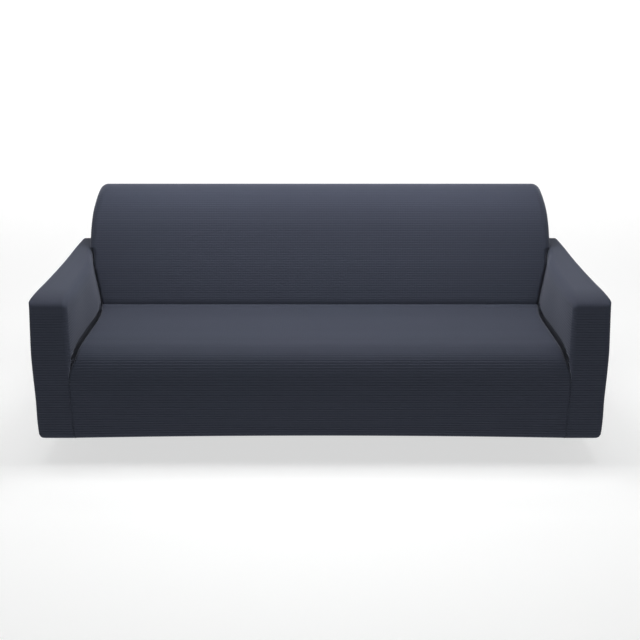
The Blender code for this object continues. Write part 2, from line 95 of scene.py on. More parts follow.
# From the foot of the rear tuck forward over the seat and down to the turned hem
SEAT_ROWS = (
    SeatRow(depth=0.5650, height=0.380, edge_radius=0.004, tuck=0.009),
    SeatRow(depth=0.5598, height=0.4095, edge_radius=0.004, tuck=0.009),
    SeatRow(depth=0.5560, height=0.4228, edge_radius=0.004, tuck=0.009),
    SeatRow(depth=0.5455, height=0.4282, edge_radius=0.006, tuck=0.012),
    SeatRow(depth=0.4950, height=0.4297, edge_radius=0.012, tuck=0.040),
    SeatRow(depth=0.3800, height=0.4345, edge_radius=0.020, tuck=TUCK),
    SeatRow(depth=0.2200, height=0.4395, edge_radius=0.022, tuck=TUCK),
    SeatRow(depth=0.1300, height=0.4400, edge_radius=0.022, tuck=TUCK),
    SeatRow(depth=0.0720, height=0.4330, edge_radius=0.020, tuck=0.042),
    SeatRow(depth=0.0280, height=0.4070, edge_radius=0.015, tuck=0.030),
    SeatRow(depth=0.0065, height=0.3620, edge_radius=0.009, tuck=0.016),
    SeatRow(depth=0.0003, height=0.3100, edge_radius=0.001, tuck=0.010),
    SeatRow(depth=0.0000, height=0.2600, edge_radius=0.0003, tuck=0.010),
    SeatRow(depth=0.0000, height=0.1300, edge_radius=0.0003, tuck=0.010),
    SeatRow(depth=0.0000, height=0.1220, edge_radius=0.0003, tuck=0.010),
    SeatRow(depth=0.0041, height=0.1051, edge_radius=0.0003, tuck=0.008),
    SeatRow(depth=0.0140, height=HEM_HEIGHT, edge_radius=0.0003, tuck=0.008),
    SeatRow(depth=0.0480, height=HEM_HEIGHT, edge_radius=0.0003, tuck=0.008),
)

# Half width of an arm's inner face from the front to the rear, at its foot and at its top
INSIDE_FOOT = 0.42
INSIDE_RISE = 0.156
ARM_FOOT_INSIDE = (
    Stop(0.000, 0.8810), Stop(0.030, 0.8770), Stop(0.080, 0.8735), Stop(0.220, 0.8685),
    Stop(0.455, 0.8700), Stop(0.558, 0.8830), Stop(0.826, 0.9000),
)
ARM_TOP_INSIDE = (
    Stop(0.000, 0.8765), Stop(0.060, 0.8700), Stop(0.220, 0.8675), Stop(0.455, 0.8815),
    Stop(0.600, 0.9150), Stop(0.826, 0.9180),
)

# The knit: two close dyes, a faint sheen, and how much ribs, cells and fuzz lift and lighten it
SLATE = (0.0240, 0.0318, 0.0452, 1.0)
SLATE_WARM = (0.0272, 0.0308, 0.0461, 1.0)
WARM_LEAST = 0.5
KNIT_ROUGHNESS = 0.88
KNIT_SHEEN = 0.15
KNIT_SHEEN_ROUGHNESS = 0.45
KNIT_SHEEN_TINT = (0.78, 0.82, 1.0, 1.0)
KNIT_GLOSS = 0.18
FUZZ_SCALE = 420.0
WEAR_SCALE = 7.0
DYE_SCALE = 2.2
RIB_RELIEF, CELL_RELIEF, FUZZ_RELIEF = 0.5, 0.10, 0.5
RELIEF_STRENGTH = 0.5
RELIEF_DEPTH = 0.0006
RIB_SHADE, CELL_SHADE, FUZZ_SHADE = 0.09, 0.015, 0.20
KNIT_SHADE = 0.88
# How much painted shade darkens the cloth's colour down in the tucks, standing in for the crease's
# shadow
TUCK_SHADE = 0.70

# What sewing removes: doubled points closer than this, and faces smaller than this
WELD = 0.00002
SLIVER = 1e-11


def smooth(t):
    """A soft step from 0 to 1."""
    t = np.clip(t, 0.0, 1.0)
    return t * t * (3.0 - 2.0 * t)


def mix(a, b, t):
    return a + (b - a) * t


def through(knots, values, at):
    """A smooth line through the knots, read at many places."""
    knots = np.asarray(knots, float)
    values = np.asarray(values, float)
    runs = np.diff(values) / np.diff(knots)
    share = (knots[1:-1] - knots[:-2]) / (knots[2:] - knots[:-2])
    slopes = np.concatenate((runs[:1], mix(runs[:-1], runs[1:], share), runs[-1:]))
    at = np.clip(at, knots[0], knots[-1])
    i = np.clip(np.searchsorted(knots, at, side="right") - 1, 0, len(knots) - 2)
    span = knots[i + 1] - knots[i]
    t = (at - knots[i]) / span
    start = (2 * t**3 - 3 * t**2 + 1) * values[i] + (t**3 - 2 * t**2 + t) * slopes[i] * span
    return start + (3 * t**2 - 2 * t**3) * values[i + 1] + (t**3 - t**2) * slopes[i + 1] * span


def read(table, at):
    """The value of a table of stops at many places, along a smooth line through them."""
    knots, values = zip(*table)
    return through(knots, values, at)


def fine_rows(rows):
    """Rows of the table, spaced a fifth of a rib apart, with how far along the cloth each lies."""
    table = np.array(rows)
    knots = np.concatenate(([0.0], np.cumsum(np.hypot(np.diff(table[:, 0]), np.diff(table[:, 1])))))
    places = np.arange(0.0, knots[-1], RIB_PITCH / RIB_STEPS)
    columns = [through(knots, column, places) for column in table.T]
    return places, columns


def inward(depth, height):
    """The way into the cover from a line that runs forward over it."""
    run = np.gradient(depth)
    rise = np.gradient(height)
    length = np.hypot(run, rise)
    return -rise / length, run / length


def arm_side(depth, height):
    """Half width of the flat of an arm's inner face, and of the seam below it."""
    up = np.clip((height - INSIDE_FOOT) / INSIDE_RISE, 0.0, 1.0)
    flare = FLARE * (1.0 - smooth((height - FLARE_LOW) / (FLARE_HIGH - FLARE_LOW)))
    flare = flare * (1.0 - smooth((depth - FLARE_FADE[0]) / (FLARE_FADE[1] - FLARE_FADE[0])))
    return mix(read(ARM_FOOT_INSIDE, depth), read(ARM_TOP_INSIDE, depth), up) + flare


def set_down(half, depth, height):
    """Half width, depth and height as points in the frame, whose origin is the mount."""
    half, depth, height = np.broadcast_arrays(half, depth, height)
    return np.stack((half, depth - MOUNT_DEPTH, height - MOUNT_HEIGHT), axis=-1)


def lengths(points, axis):
    """How far along a grid's own threads each of its points lies."""
    steps = np.linalg.norm(np.diff(points, axis=axis), axis=-1)
    first = np.zeros_like(np.take(steps, [0], axis=axis))
    return np.cumsum(np.concatenate((first, steps), axis=axis), axis=axis)


def mirrored(patches):
    """The same patches on the other side of the middle."""
    return [p._replace(points=p.points * (-1.0, 1.0, 1.0), across=-p.across) for p in patches]


def sew(name, patches, outward):
    """One sheet from grids of points, ribbed along its threads, 2 mm thick, and facing outward."""
    points = np.concatenate([p.points.reshape(-1, 3) for p in patches])
    across = np.concatenate([p.across.ravel() for p in patches])
    along = np.concatenate([p.along.ravel() for p in patches])
    ribbed = np.concatenate([p.ribbed.ravel() for p in patches])
    tucked = np.concatenate([np.broadcast_to(p.tucked, p.along.shape).ravel() for p in patches])
    quads = []
    first = 0
    for p in patches:
        rows, columns = p.points.shape[:2]
        index = first + np.arange(rows * columns).reshape(rows, columns)
        corners = (index[:-1, :-1], index[:-1, 1:], index[1:, 1:], index[1:, :-1])
        quads.append(np.stack(corners, axis=-1).reshape(-1, 4))
        first += rows * columns
    quads = np.concatenate(quads)
    mesh = bpy.data.meshes.new(name)
    mesh.from_pydata(points.tolist(), [], quads.tolist())
    chart = mesh.uv_layers.new(name="threads")
    chart.uv.foreach_set("vector", np.stack((across, along), axis=-1)[quads.ravel()].ravel())
    # The crease mask of painted shade is kept on the mesh for the material, with the rib strength
    for label, values in (("along", along), ("ribbed", ribbed), ("tucked", tucked)):
        layer = mesh.attributes.new(label, "FLOAT", "POINT")
        layer.data.foreach_set("value", values)
    bm = bmesh.new()
    bm.from_mesh(mesh)
    bmesh.ops.remove_doubles(bm, verts=bm.verts, dist=WELD)
    thin = [face for face in bm.faces if face.calc_area() < SLIVER]
    bmesh.ops.delete(bm, geom=thin, context="FACES")
    bmesh.ops.recalc_face_normals(bm, faces=bm.faces)
    furthest = max(bm.faces, key=lambda face: face.calc_center_median().dot(outward))
    if furthest.normal.dot(outward) < 0.0:
        bmesh.ops.reverse_faces(bm, faces=bm.faces)
    for face in bm.faces:
        face.smooth = True
    bm.to_mesh(mesh)
    bm.free()
    count = len(mesh.vertices)
    place = np.empty(count * 3)
    normal = np.empty(count * 3)
    along = np.empty(count)
    ribbed = np.empty(count)
    mesh.vertices.foreach_get("co", place)
    mesh.vertices.foreach_get("normal", normal)
    mesh.attributes["along"].data.foreach_get("value", along)
    mesh.attributes["ribbed"].data.foreach_get("value", ribbed)
    sink = RIB_HEIGHT * ribbed * 0.5 * (1.0 - np.cos(2.0 * pi * along / RIB_PITCH))
    mesh.vertices.foreach_set("co", place - normal * np.repeat(sink, 3))
    mesh.attributes.remove(mesh.attributes["along"])
    mesh.update()
    panel = bpy.data.objects.new(name, mesh)
    bpy.context.scene.collection.objects.link(panel)
    bpy.ops.object.select_all(action="DESELECT")
    panel.select_set(True)
    bpy.context.view_layer.objects.active = panel
    wall = panel.modifiers.new("thickness", "SOLIDIFY")
    wall.thickness = CLOTH
    wall.offset = -1.0
    bpy.ops.object.modifier_apply(modifier=wall.name)
    return panel


def knit(name):
    """Matt stretch knit: ribs worn in places, small cells, fuzz, uneven dye, and painted shade that
    darkens the tucks.
    """
    material = bpy.data.materials.new(name)
    material.use_nodes = True
    tree = material.node_tree
    nodes = tree.nodes
    shader = nodes["Principled BSDF"]
    shader.inputs["Roughness"].default_value = KNIT_ROUGHNESS
    shader.inputs["Sheen Weight"].default_value = KNIT_SHEEN
    shader.inputs["Sheen Roughness"].default_value = KNIT_SHEEN_ROUGHNESS
    shader.inputs["Sheen Tint"].default_value = KNIT_SHEEN_TINT
    shader.inputs["Specular IOR Level"].default_value = KNIT_GLOSS

    def node(kind, **settings):
        made = nodes.new(kind)
        for key, value in settings.items():
            setattr(made, key, value)
        return made

    def sums(operation, first, second):
        made = node("ShaderNodeMath", operation=operation)
        for socket, value in zip(made.inputs, (first, second)):
            if isinstance(value, float):
                socket.default_value = value
            else:
                tree.links.new(value, socket)
        return made.outputs[0]

    def cloudy(scale, detail):
        made = node("ShaderNodeTexNoise")
        made.inputs["Scale"].default_value = scale
        made.inputs["Detail"].default_value = detail
        tree.links.new(place.outputs["Object"], made.inputs["Vector"])
        return made.outputs["Fac"]

    chart = node("ShaderNodeUVMap", uv_map="threads")
    threads = node("ShaderNodeSeparateXYZ")
    tree.links.new(chart.outputs[0], threads.inputs[0])
    rib = sums("COSINE", sums("MULTIPLY", threads.outputs[1], 2.0 * pi / RIB_PITCH), 0.0)
    cell = sums("COSINE", sums("MULTIPLY", threads.outputs[0], 2.0 * pi / RIB_PITCH), 0.0)
    place = node("ShaderNodeTexCoord")
    fuzz = cloudy(FUZZ_SCALE, 2.0)
    worn = cloudy(WEAR_SCALE, 2.0)
    dye = cloudy(DYE_SCALE, 3.0)
    ribbed = node("ShaderNodeAttribute", attribute_name="ribbed").outputs["Fac"]
    tucked = node("ShaderNodeAttribute", attribute_name="tucked").outputs["Fac"]
    shown = sums("MULTIPLY", ribbed, sums("MULTIPLY", worn, 2.0))
    rib = sums("MULTIPLY", rib, shown)
    relief = sums("ADD", sums("MULTIPLY", rib, RIB_RELIEF), sums("MULTIPLY", cell, CELL_RELIEF))
    relief = sums("ADD", relief, sums("MULTIPLY", fuzz, FUZZ_RELIEF))
    bump = node("ShaderNodeBump")
    bump.inputs["Strength"].default_value = RELIEF_STRENGTH
    bump.inputs["Distance"].default_value = RELIEF_DEPTH
    tree.links.new(relief, bump.inputs["Height"])
    tree.links.new(bump.outputs[0], shader.inputs["Normal"])
    tint = node("ShaderNodeMix", data_type="RGBA")
    tint.inputs[6].default_value = SLATE
    tint.inputs[7].default_value = SLATE_WARM
    tree.links.new(sums("ADD", dye, WARM_LEAST), tint.inputs[0])
    shade = node("ShaderNodeMix", data_type="RGBA", blend_type="MULTIPLY")
    shade.inputs[0].default_value = 1.0
    level = sums("ADD", sums("MULTIPLY", rib, RIB_SHADE), sums("MULTIPLY", cell, CELL_SHADE))
    level = sums("ADD", level, sums("MULTIPLY", fuzz, FUZZ_SHADE))
    level = sums("ADD", level, KNIT_SHADE)
    # Painted shade: the colour darkens where the mesh's crease mask is high, down in the tucks
    level = sums("MULTIPLY", level, sums("SUBTRACT", 1.0, sums("MULTIPLY", tucked, TUCK_SHADE)))
    tree.links.new(tint.outputs[2], shade.inputs[6])
    tree.links.new(level, shade.inputs[7])
    tree.links.new(shade.outputs[2], shader.inputs["Base Color"])
    return material


def tuck_opening(height):
    """How far the seat stands off an arm's inner face: least where the seam shows below."""
    return mix(0.0, TUCK_OPENING, smooth((height - STRAIGHT_SEAM_TOP) / TUCK))


seat_along, (depth, height, edge_radius, tuck) = fine_rows(SEAT_ROWS)
height = np.maximum(height, HEM_HEIGHT)
in_depth, in_height = inward(depth, height)
opening = tuck_opening(height)
flat = arm_side(depth, height) - opening - edge_radius
rows = (depth[:, None], height[:, None])
across = np.sin(np.linspace(0.0, pi / 2.0, SEAT_COLUMNS))[None, :]
low = (1.0 - across**2) * smooth((HEM_BOW_TOP - rows[1]) / HEM_BOW_REACH)
top = set_down(across * flat[:, None], rows[0] + HEM_RECESS * low, rows[1] + HEM_RISE * low)
turn = np.radians(np.linspace(EDGE_START, 90.0, EDGE_STEPS))[None, :]
down = edge_radius[:, None] * (1.0 - np.cos(turn))
edge = set_down(
    flat[:, None] + edge_radius[:, None] * np.sin(turn),
    rows[0] + in_depth[:, None] * down,
    rows[1] + in_height[:, None] * down,
)
down = mix(edge_radius[:, None], tuck[:, None], np.array([TUCK_STEPS]))
deep = rows[0] + in_depth[:, None] * down
high = rows[1] + in_height[:, None] * down
side = set_down(arm_side(deep, high) - opening[:, None], deep, high)
grid = np.concatenate((top, edge, side), axis=1)
flat_cloth = np.broadcast_to(seat_along[:, None], grid.shape[:2])
ribbed = mix(FLAT_RIBS, 1.0, smooth((RIBS_START - rows[1]) / RIBS_FADE))
ribbed = np.broadcast_to(ribbed, grid.shape[:2])
# Painted shade in the crease beside each arm: it grows as the seat's edge turns down, is full down
# the tuck, and fades where the tuck closes at the straight seam
edge_shade = smooth((np.degrees(turn[0]) - EDGE_SHADE_START) / (90.0 - EDGE_SHADE_START))
turned = np.concatenate((np.zeros(SEAT_COLUMNS), edge_shade, np.ones(len(TUCK_STEPS))))
tucked = turned[None, :] * (opening / TUCK_OPENING)[:, None]
seat_half = [Patch(grid, lengths(grid, 1), flat_cloth, ribbed, tucked)]
seat = sew("seat_cover", seat_half + mirrored(seat_half), (0.0, -1.0, 0.0))
seat.data.materials.append(knit("seat_knit"))
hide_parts("seat_and_front_panel")
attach(seat, "root")


# ---- Inside back panel ---------------------------------------------------------------------
# The face of the back in the same knit. It comes up out of the tuck behind the seat, rolls
# over the top, turns round both sides above the arms, and is sewn along the rear edge.

REAR_EDGE_RADIUS = 0.0195
REAR_EDGE_DEPTH = 0.806
REAR_TURN = 65.0
REAR_RIM_FOOT = 0.5935
BACK_OPENING = 0.0045
BACK_COLUMNS = 24

# A side thread has its points crowded into the bend, by this power of its length
SIDE_STEPS = 27
SIDE_CROWDING = 1.4

# Above this height the side is free of the arm and its threads reach the rear edge
BACK_FREE_FROM = 0.568
BACK_FREE_RISE = 0.025

BackRow = namedtuple("BackRow", "depth height edge_radius rear_height")

# From the rear edge over the top and down to the foot of the tuck. rear_height is where a
# thread that leaves the row sideways reaches the rear edge.
BACK_ROWS = (
    BackRow(depth=REAR_EDGE_DEPTH, height=0.8630, edge_radius=0.034, rear_height=0.8285),
    BackRow(depth=MOUNT_DEPTH, height=0.8655, edge_radius=0.037, rear_height=0.8220),
    BackRow(depth=0.7530, height=0.8610, edge_radius=0.042, rear_height=0.8100),
    BackRow(depth=0.7140, height=0.8430, edge_radius=0.044, rear_height=0.7940),
    BackRow(depth=0.6790, height=0.8060, edge_radius=0.042, rear_height=0.7680),
    BackRow(depth=0.6520, height=0.7500, edge_radius=0.036, rear_height=0.7320),
    BackRow(depth=0.6350, height=0.6950, edge_radius=0.030, rear_height=0.6840),
    BackRow(depth=0.6185, height=0.6340, edge_radius=0.024, rear_height=0.6280),
    BackRow(depth=0.6075, height=0.5960, edge_radius=0.018, rear_height=0.5930),
    BackRow(depth=0.6010, height=0.5750, edge_radius=0.015, rear_height=0.5750),
    BackRow(depth=0.5880, height=0.5300, edge_radius=0.013, rear_height=0.5300),
    BackRow(depth=0.5705, height=0.4700, edge_radius=0.012, rear_height=0.4700),
    BackRow(depth=0.5612, height=0.4320, edge_radius=0.010, rear_height=0.4320),
    BackRow(depth=0.5615, height=0.4120, edge_radius=0.008, rear_height=0.4120),
    BackRow(depth=0.5653, height=0.3800, edge_radius=0.007, rear_height=0.3800),
)
BACK_HALF_WIDTH = (
    Stop(0.380, 0.9285), Stop(0.640, 0.9285), Stop(0.725, 0.9235), Stop(0.770, 0.9180),
    Stop(0.820, 0.9065), Stop(0.866, 0.8985),
)

# The arm beside it: its outer face at the front, and how far that is drawn in further back
ARM_HEIGHT = 0.637
ARM_BOX_WIDTH = 0.135
ARM_TOP_ROUND = 0.036
ARM_TOP_ROUND_ACROSS = 0.034
ARM_OUTSIDE_AT_FRONT = (
    Stop(0.101, 1.0205), Stop(0.160, 1.0222), Stop(0.250, 1.0200), Stop(0.375, 1.0203),
    Stop(0.436, 1.0193), Stop(0.500, 1.0156), Stop(0.563, 1.0115), Stop(0.637, 1.0065),
)
WAIST_FOOT = 0.25
WAIST_RISE = 0.35
ARM_WAIST = (
    Stop(0.000, 0.0), Stop(0.110, -0.0010), Stop(0.200, -0.0060), Stop(0.290, -0.0095),
    Stop(0.450, -0.0135), Stop(0.560, -0.0135), Stop(0.670, -0.0115), Stop(0.826, -0.0130),
)


def arm_outside(depth, height):
    """Half width of an arm's outer face, drawn in at its waist near the top."""
    waist = read(ARM_WAIST, depth) * smooth((height - WAIST_FOOT) / WAIST_RISE)
    return read(ARM_OUTSIDE_AT_FRONT, height) + waist


def arm_shoulder(depth, height):
    """Half width of an arm's inner side, rounded over at the top."""
    inside = arm_side(depth, height)
    wide = ARM_TOP_ROUND_ACROSS * (arm_outside(depth, height) - inside) / ARM_BOX_WIDTH
    over = np.clip((height - (ARM_HEIGHT - ARM_TOP_ROUND)) / ARM_TOP_ROUND, 0.0, 1.0)
    return inside + wide * (1.0 - np.sqrt(1.0 - over**2))


def back_side(depth, height):
    """Half width of the back's side: along the arm below its top, and free above it."""
    free = read(BACK_HALF_WIDTH, height)
    beside_arm = np.minimum(arm_shoulder(depth, height) - BACK_OPENING, free)
    return np.where(height > ARM_HEIGHT - 0.001, free, beside_arm)


def inset(half, height, distance):
    """The rear outline moved towards the middle of the back, from the centre line down the side."""
    across = np.gradient(half)
    rise = np.gradient(height)
    length = np.hypot(across, rise)
    moved_half = half + distance * rise / length
    moved_height = height - distance * across / length
    moved_half[0] = 0.0
    moved_half[-1] = half[-1] - distance
    moved_height[-1] = height[-1]
    return moved_half, moved_height


along, (depth, height, edge_radius, rear_height) = fine_rows(BACK_ROWS)
in_depth, in_height = inward(depth, height)
in_depth[0], in_height[0] = 0.0, -1.0
start_depth = depth + in_depth * edge_radius
start_height = height + in_height * edge_radius
flat = back_side(start_depth, start_height) - edge_radius
reach = smooth((rear_height - BACK_FREE_FROM) / BACK_FREE_RISE)
end_depth = mix(depth + TUCK, REAR_EDGE_DEPTH, reach)
bend = (edge_radius * pi / 2.0)[:, None]
straight = np.hypot(end_depth - start_depth, rear_height - start_height)[:, None]
run = np.linspace(0.0, 1.0, SIDE_STEPS)[None, 1:] ** SIDE_CROWDING * (bend + straight)
turn = np.minimum(run / edge_radius[:, None], pi / 2.0)
down = edge_radius[:, None] * (1.0 - np.cos(turn))
part = np.clip((run - bend) / np.maximum(straight, 1e-6), 0.0, 1.0)
bent = run < bend
thread_depth = mix(start_depth, end_depth, part.T).T
thread_depth = np.where(bent, depth[:, None] + in_depth[:, None] * down, thread_depth)
thread_height = mix(start_height, rear_height, part.T).T
thread_height = np.where(bent, height[:, None] + in_height[:, None] * down, thread_height)
bent_half = flat[:, None] + edge_radius[:, None] * np.sin(turn)
thread_half = np.where(bent, bent_half, back_side(thread_depth, thread_height))
across = np.sin(np.linspace(0.0, pi / 2.0, BACK_COLUMNS))[None, :]
face = set_down(across * flat[:, None], depth[:, None], height[:, None])
grid = np.concatenate((face, set_down(thread_half, thread_depth, thread_height)), axis=1)
wide = lengths(grid, 1)
shape = grid.shape[:2]
back_half = [Patch(grid, wide, np.broadcast_to(along[:, None], shape), np.full(shape, FLAT_RIBS))]
free_rows = np.flatnonzero(rear_height > REAR_RIM_FOOT)[1:]
rim_half = np.concatenate((grid[0, :, 0], grid[free_rows, -1, 0]))
rim_height = np.concatenate((grid[0, :, 2], grid[free_rows, -1, 2])) + MOUNT_HEIGHT
rim_along = np.concatenate((np.zeros(grid.shape[1]), along[free_rows]))
rim_across = np.concatenate((wide[0], wide[free_rows, -1]))
rings = []
for turn in np.radians(np.linspace(0.0, REAR_TURN, EDGE_STEPS)):
    ring_half, ring_height = inset(rim_half, rim_height, REAR_EDGE_RADIUS * (1.0 - np.cos(turn)))
    ring_depth = REAR_EDGE_DEPTH + REAR_EDGE_RADIUS * np.sin(turn)
    rings.append(set_down(ring_half, ring_depth, ring_height))
rings = np.array(rings)
rings[0, :, 0], rings[0, :, 2] = rim_half, rim_height - MOUNT_HEIGHT
shape = rings.shape[:2]
back_half.append(Patch(
    rings,
    np.broadcast_to(rim_across, shape),
    rim_along - lengths(rings, 0),
    np.zeros(shape),
))
back = sew("back_cover", back_half + mirrored(back_half), (0.0, 0.0, 1.0))
back.data.materials.append(knit("back_knit"))
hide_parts("inside_back_panel")
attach(back, "root")


# ---- Outside back panel --------------------------------------------------------------------
# The plain rear of the cover, one flat cut of the same knit stretched upright from the rear
# edge of the top down to its own turned hem, and sewn to both arms.

SEAM_GAP = 0.0001
REAR_DEPTH = 0.826
REAR_COLUMNS = 13
REAR_PANEL_INSET = 0.0113
REAR_OUTLINE_FROM = 0.80
REAR_HEM_RADIUS = 0.014
REAR_HEM_TURN = 0.041
REAR_HEM_STEPS = 6
REAR_SHOULDER = 0.592
CORNER_CLEAR = 0.006
CORNER_CLEAR_FROM = 0.566
CORNER_CLEAR_RISE = 0.02
ARM_REAR_ROUND = 0.008


def arm_rear_edge(depth, height):
    """Half width of the inner edge of an arm's rear face and of the hem under it."""
    inside = arm_side(depth, height) + SEAM_GAP
    return mix(inside, arm_outside(depth, height), ARM_REAR_ROUND / ARM_BOX_WIDTH)


outline_half, outline_height = inset(rim_half, rim_height, REAR_PANEL_INSET)
corner = outline_half > REAR_OUTLINE_FROM
outline_half, outline_height = outline_half[corner][::-1], outline_height[corner][::-1]
rise = np.arange(HEM_HEIGHT + REAR_HEM_RADIUS, outline_height[-1], RIB_PITCH / RIB_STEPS)
beside_arm = arm_rear_edge(REAR_DEPTH, rise) - SEAM_GAP
beside_arm -= CORNER_CLEAR * smooth((rise - CORNER_CLEAR_FROM) / CORNER_CLEAR_RISE)
half = np.where(rise < REAR_SHOULDER, beside_arm, np.interp(rise, outline_height, outline_half))
turn = np.radians(np.linspace(90.0, 0.0, REAR_HEM_STEPS))[:-1]
hem_depth = REAR_DEPTH - REAR_HEM_RADIUS * (1.0 - np.cos(turn))
hem_height = HEM_HEIGHT + REAR_HEM_RADIUS * (1.0 - np.sin(turn))
depth = np.concatenate(([REAR_DEPTH - REAR_HEM_TURN], hem_depth, np.full(len(rise), REAR_DEPTH)))
height = np.concatenate(([HEM_HEIGHT], hem_height, rise))
hem_half = arm_rear_edge(depth[:REAR_HEM_STEPS], height[:REAR_HEM_STEPS]) - SEAM_GAP
half = np.concatenate((hem_half, half))
across = np.linspace(0.0, 1.0, REAR_COLUMNS)[None, :]
grid = set_down(across * half[:, None], depth[:, None], height[:, None])
shape = grid.shape[:2]
climb = lengths(grid[:, :1], 0)
rear_half = [Patch(grid, lengths(grid, 1), np.broadcast_to(climb, shape), np.ones(shape))]
rear = sew("rear_cover", rear_half + mirrored(rear_half), (0.0, 1.0, 0.0))
rear.data.materials.append(knit("rear_knit"))
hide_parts("outside_back_panel")
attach(rear, "root")


# ---- Arm panels ----------------------------------------------------------------------------
# Two mirrored sleeves of the same knit. Each is pulled on from above, boxed at its front and
# rear corners, rounded over the top and tucked down into the crease by the seat.

# How wide the rounded edge between two faces is, on the first face's axis and on the second's
ARM_EDGES = {
    ("inner", "top"): (ARM_TOP_ROUND_ACROSS, ARM_TOP_ROUND),
    ("outer", "top"): (0.012, 0.013),
    ("inner", "front"): (0.016, 0.016),
    ("outer", "front"): (0.012, 0.014),
    ("inner", "rear"): (0.008, 0.008),
    ("outer", "rear"): (0.075, 0.080),
    ("outer", "hem"): (0.026, 0.024),
    ("inner", "hem"): (0.008, 0.012),
    ("front", "top"): (0.120, 0.028),
    ("rear", "top"): (0.045, 0.045),
    ("front", "hem"): (0.014, 0.014),
    ("rear", "hem"): (0.014, 0.014),
}
ARM_WAYS = (("inner", "outer"), ("front", "rear"), ("hem", "top"))
SEAM_EDGE_RADIUS = 0.0003
REAR_TOP_GROWTH = 1.8

# The inner face is drawn back beside the seat's edge: how far, and where that starts and ends
UNDERCUT = 0.015
UNDERCUT_ABOVE = 0.006
UNDERCUT_TURN = 0.016
UNDERCUT_DEEP = 0.034
UNDERCUT_BACK = 0.022
UNDERCUT_FRONT, UNDERCUT_FRONT_FADE = 0.010, 0.030
UNDERCUT_REAR, UNDERCUT_REAR_FADE = 0.545, 0.030
SEAT_LINE_FOOT = 0.335
# Painted shade in the arm's crease follows the undercut: it starts this much lower, and is full where
# the undercut reaches this share of its depth
SHADE_BELOW = 0.004
SHADE_FULL = 0.7

# Depth and height of the foot of the crease, where the inner face ends
CREVICE = (
    (0.010, 0.100), (0.010, 0.300), (0.022, 0.358), (0.053, 0.3885), (0.115, 0.3890),
    (0.220, 0.3895), (0.380, 0.3900), (0.495, 0.3905), (0.608, 0.3920), (0.638, 0.500),
    (0.662, 0.562), (0.818, 0.577),
)

# Stops across, along and up the sleeve: 0 to 1 and 2 to 3 are its rounded edges, 1 to 2 is flat
ROUND_STEPS, ACROSS_STEPS, DEPTH_STEPS, HEIGHT_STEPS = 5, 8, 26, 255
NEAR_EDGE_STOP = 1.015
HALFWAY_STOP = 1.5
RIBS_END_STOP = 1.93
STOP_SLACK = 0.0001
round_stops = np.tan(np.linspace(0.0, pi / 4.0, ROUND_STEPS))
low_round = 1.0 - round_stops[:0:-1]
high_round = 2.0 + round_stops[1:]
across_flat = np.linspace(1.0, 2.0, ACROSS_STEPS)[1:]
ACROSS_STOPS = np.concatenate((low_round, [1.0, NEAR_EDGE_STOP], across_flat, high_round))
DEPTH_STOPS = np.concatenate((low_round, np.linspace(1.0, 2.0, DEPTH_STEPS), high_round))
HEIGHT_STOPS = np.concatenate((low_round, np.linspace(1.0, 2.0, HEIGHT_STEPS), high_round))

# The turned hem under the sleeve, as stops
HEM_CORNER = 0.030
HEM_STRAIGHT = 0.782
HEM_TURN_FRONT = 0.060
HEM_TURN_REAR = 0.785
TURNED_FRONT = 1.0 + (HEM_TURN_FRONT - HEM_CORNER) / HEM_STRAIGHT
TURNED_REAR = 1.0 + (HEM_TURN_REAR - HEM_CORNER) / HEM_STRAIGHT
TURNED_OUTER = 1.7

# How far along and across its threads each face of the sleeve begins
TOP_ALONG = 0.640
REAR_ACROSS = 0.82
LEVEL_MARK = 0.30
FACE_COLUMNS = 26


def rounding(face, parts, height, rearward):
    """How wide a face's rounded zone is along its own axis, from the edges near each point."""
    total = 0.0
    weight = 1e-12
    for pair, radii in ARM_EDGES.items():
        if face not in pair:
            continue
        other = pair[1 - pair.index(face)]
        radius = radii[pair.index(face)]
        if set(pair) == {"inner", "front"}:
            above_seam = smooth((height - FLARE_LOW) / (FLARE_HIGH - FLARE_LOW))
            radius = mix(SEAM_EDGE_RADIUS, radius, above_seam)
        if set(pair) == {"outer", "top"}:
            radius = radius * mix(1.0, REAR_TOP_GROWTH, rearward)
        total = total + radius * parts[other] ** 2
        weight = weight + parts[other] ** 2
    return total / weight


def arm_grid(x, y, z):
    """Places on the sleeve for stops on a cube from 0 to 3, whose outer thirds are its edges."""
    x, y, z = np.broadcast_arrays(x, y, z)
    parts = {}
    for way, stop in zip(ARM_WAYS, (x, y, z)):
        parts[way[0]] = np.clip(1.0 - stop, 0.0, 1.0)
        parts[way[1]] = np.clip(stop - 2.0, 0.0, 1.0)
    size = np.sqrt(sum(part**2 for part in parts.values()))
    rearward = smooth((y - HALFWAY_STOP) / (2.0 - HALFWAY_STOP))

    def along(stop, way, span, height):
        low = span[0] + rounding(way[0], parts, height, rearward)
        high = span[1] - rounding(way[1], parts, height, rearward)
        unit = (parts[way[0]] + parts[way[1]]) / size
        core = mix(low, high, stop - 1.0)
        core = np.where(stop > 2.0, mix(high, span[1], unit), core)
        return np.where(stop < 1.0, mix(low, span[0], unit), core)

    height = along(z, ARM_WAYS[2], (HEM_HEIGHT, ARM_HEIGHT), 0.0)
    depth = along(y, ARM_WAYS[1], (0.0, REAR_DEPTH), height)
    width = along(x, ARM_WAYS[0], (0.0, ARM_BOX_WIDTH), height)
    inside = arm_side(depth, height) + SEAM_GAP
    half = mix(inside, arm_outside(depth, height), width / ARM_BOX_WIDTH)
    return half, depth, height


def undercut(depth, height):
    """How far a sleeve's inner face is drawn back beside the seat's edge."""
    seat_line = np.interp(depth, seat_depth[::-1], seat_height[::-1])
    below = seat_line + UNDERCUT_ABOVE - height
    fold = smooth(below / UNDERCUT_TURN) * (1.0 - smooth((below - UNDERCUT_DEEP) / UNDERCUT_BACK))
    front = smooth((depth - UNDERCUT_FRONT) / UNDERCUT_FRONT_FADE)
    rear = 1.0 - smooth((depth - UNDERCUT_REAR) / UNDERCUT_REAR_FADE)
    return UNDERCUT * fold * front * rear


